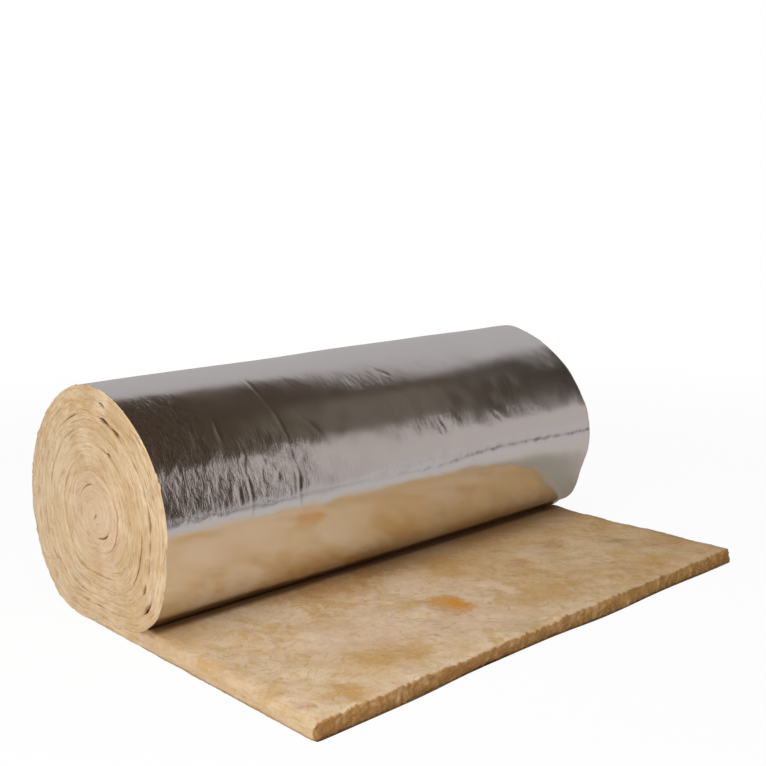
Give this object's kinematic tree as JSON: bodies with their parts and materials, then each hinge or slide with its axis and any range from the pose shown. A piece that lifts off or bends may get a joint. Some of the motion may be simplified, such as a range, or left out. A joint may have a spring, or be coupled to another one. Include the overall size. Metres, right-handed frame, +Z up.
{
  "type": "foil-faced glass wool insulation roll",
  "caption": "Roll of foil-faced glass wool lying on its side, wound foil outwards, with its loose end run out flat in front of it.",
  "frame": {"origin": "on the floor, on the foil's underside, straight below the winding axis and half way along it", "axes": "+X along the winding axis, -Y the way the loose end runs out, +Z up"},
  "size_m": [1.2, 0.9354, 0.48],
  "materials": {
    "glass_wool": "matt tan glass fibre, cut edges fibrous",
    "foil": "bright foil, finely crinkled"
  },
  "bodies": {
    "root": {"wound_wool": "glass_wool", "loose_end_wool": "glass_wool", "wound_foil": "foil", "loose_end_foil": "foil"}
  },
  "joints": []
}
